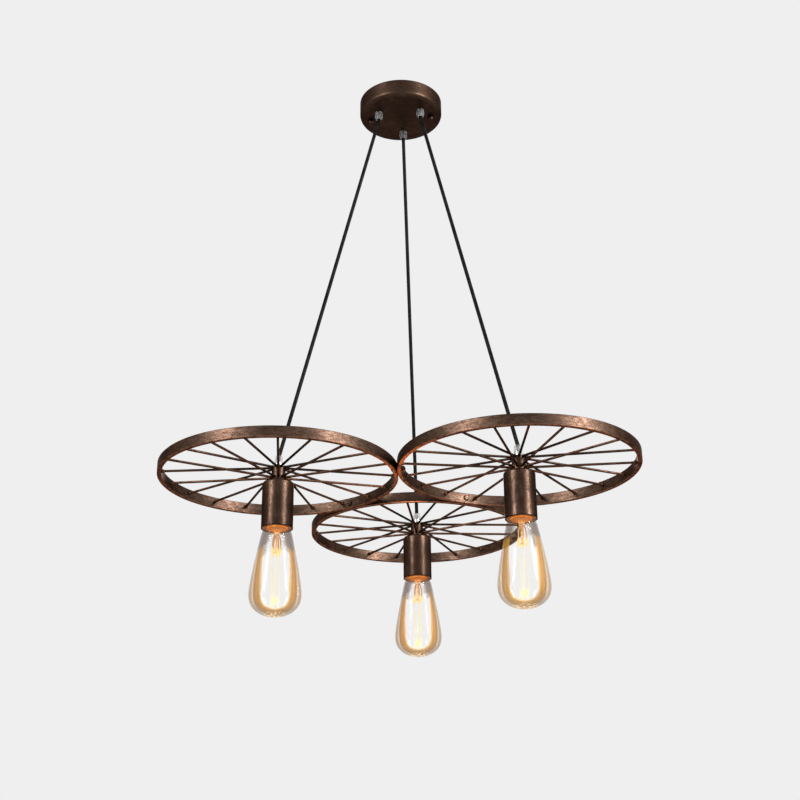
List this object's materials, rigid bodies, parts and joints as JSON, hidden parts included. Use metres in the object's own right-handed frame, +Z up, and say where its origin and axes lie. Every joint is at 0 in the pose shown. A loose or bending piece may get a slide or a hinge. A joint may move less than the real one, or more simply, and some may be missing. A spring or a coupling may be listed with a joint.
{
  "type": "wagon wheel chandelier",
  "caption": "Cluster pendant light: round spoked wheels joined rim to rim, each hung level by its own cord from a round canopy, with a socket cover and a bare amber bulb under every hub.",
  "frame": {"origin": "middle of the crossbar's top face, on the ceiling", "axes": "+Z up, away from the wheels and out of the ceiling screws' slots; +Y towards the single rear wheel, +X to the right along the crossbar, seen from the pair of front wheels"},
  "size_m": [0.6, 0.5599, 0.7864],
  "materials": {
    "rust_bronze": "antique rust bronze, satin",
    "cord_black": "satin black sheath",
    "clear_plastic": "clear, polished",
    "plated_steel": "zinc plated",
    "holder_black": "moulded thermoset",
    "contact_brass": "plain brass",
    "cap_nickel": "nickel plated brass",
    "insulator_black": "black glass insulator",
    "amber_glass": "amber tinted, clear",
    "stem_glass": "clear",
    "lit_filament": "glowing",
    "terminal_white": "moulded"
  },
  "bodies": {
    "ceiling": {"canopy": "rust_bronze", "crossbar": "plated_steel", "canopy_screws": "rust_bronze", "canopy_grips": "clear_plastic", "grip_nuts": "plated_steel", "terminal_block": "terminal_white", "cord_tails": "cord_black"},
    "cord_left": {"cord_left": "cord_black"},
    "cord_right": {"cord_right": "cord_black"},
    "cord_back": {"cord_back": "cord_black"},
    "wheels": {"rim_left": "rust_bronze", "lower_spokes_left": "rust_bronze", "upper_spokes_left": "rust_bronze", "hub_left": "rust_bronze", "nipple_left": "plated_steel", "cord_grip_left": "clear_plastic", "socket_cover_left": "rust_bronze", "lampholder_left": "holder_black", "screw_shell_left": "contact_brass", "centre_contact_left": "contact_brass", "rim_right": "rust_bronze", "lower_spokes_right": "rust_bronze", "upper_spokes_right": "rust_bronze", "hub_right": "rust_bronze", "nipple_right": "plated_steel", "cord_grip_right": "clear_plastic", "socket_cover_right": "rust_bronze", "lampholder_right": "holder_black", "screw_shell_right": "contact_brass", "centre_contact_right": "contact_brass", "rim_back": "rust_bronze", "lower_spokes_back": "rust_bronze", "upper_spokes_back": "rust_bronze", "hub_back": "rust_bronze", "nipple_back": "plated_steel", "cord_grip_back": "clear_plastic", "socket_cover_back": "rust_bronze", "lampholder_back": "holder_black", "screw_shell_back": "contact_brass", "centre_contact_back": "contact_brass", "lamp_leads": "cord_black", "nipple_nuts": "plated_steel", "grip_screws": "clear_plastic", "rim_bolts": "rust_bronze", "rim_nuts": "rust_bronze"},
    "bulb_foot_left": {"bulb_contact_left": "insulator_black"},
    "bulb_left": {"bulb_glass_left": "amber_glass", "bulb_cap_left": "cap_nickel", "bulb_stem_left": "stem_glass", "bulb_filament_left": "lit_filament"},
    "bulb_foot_right": {"bulb_contact_right": "insulator_black"},
    "bulb_right": {"bulb_glass_right": "amber_glass", "bulb_cap_right": "cap_nickel", "bulb_stem_right": "stem_glass", "bulb_filament_right": "lit_filament"},
    "bulb_foot_back": {"bulb_contact_back": "insulator_black"},
    "bulb_back": {"bulb_glass_back": "amber_glass", "bulb_cap_back": "cap_nickel", "bulb_stem_back": "stem_glass", "bulb_filament_back": "lit_filament"}
  },
  "joints": [
    {"name": "cord_sway", "type": "hinge", "parent": "ceiling", "child": "cord_back", "pos_m": [0, 0.035, -0.037], "axis": [0, 1, 0], "range_deg": [-8, 8]},
    {"name": "cord_sway_left", "type": "hinge", "parent": "ceiling", "child": "cord_left", "pos_m": [-0.03031, -0.0175, -0.037], "axis": [0, 1, 0], "range_deg": [-8, 8]},
    {"name": "cord_sway_right", "type": "hinge", "parent": "ceiling", "child": "cord_right", "pos_m": [0.03031, -0.0175, -0.037], "axis": [0, 1, 0], "range_deg": [-8, 8]},
    {"name": "wheels_level", "type": "hinge", "parent": "cord_back", "child": "wheels", "pos_m": [0, 0.17326, -0.581], "axis": [0, 1, 0], "range_deg": [-2, 2]},
    {"name": "bulb_travel_left", "type": "slide", "parent": "wheels", "child": "bulb_foot_left", "axis": [0, 0, -1], "range_m": [0, 0.0182]},
    {"name": "bulb_turn_left", "type": "hinge", "parent": "bulb_foot_left", "child": "bulb_left", "pos_m": [-0.15005, -0.08663, -0.655], "axis": [0, 0, -1], "range_deg": [0, 1800]},
    {"name": "bulb_travel_right", "type": "slide", "parent": "wheels", "child": "bulb_foot_right", "axis": [0, 0, -1], "range_m": [0, 0.0182]},
    {"name": "bulb_turn_right", "type": "hinge", "parent": "bulb_foot_right", "child": "bulb_right", "pos_m": [0.15005, -0.08663, -0.655], "axis": [0, 0, -1], "range_deg": [0, 1800]},
    {"name": "bulb_travel_back", "type": "slide", "parent": "wheels", "child": "bulb_foot_back", "axis": [0, 0, -1], "range_m": [0, 0.0182]},
    {"name": "bulb_turn_back", "type": "hinge", "parent": "bulb_foot_back", "child": "bulb_back", "pos_m": [0, 0.17326, -0.655], "axis": [0, 0, -1], "range_deg": [0, 1800]}
  ],
  "couplings": [
    {"joint": "cord_sway_left", "follows": "cord_sway", "ratio": 1},
    {"joint": "cord_sway_right", "follows": "cord_sway", "ratio": 1},
    {"joint": "wheels_level", "follows": "cord_sway", "ratio": -0.20201},
    {"joint": "bulb_travel_left", "follows": "bulb_turn_left", "m_per_rad": 0.0005761},
    {"joint": "bulb_travel_right", "follows": "bulb_turn_right", "m_per_rad": 0.0005761},
    {"joint": "bulb_travel_back", "follows": "bulb_turn_back", "m_per_rad": 0.0005761}
  ]
}
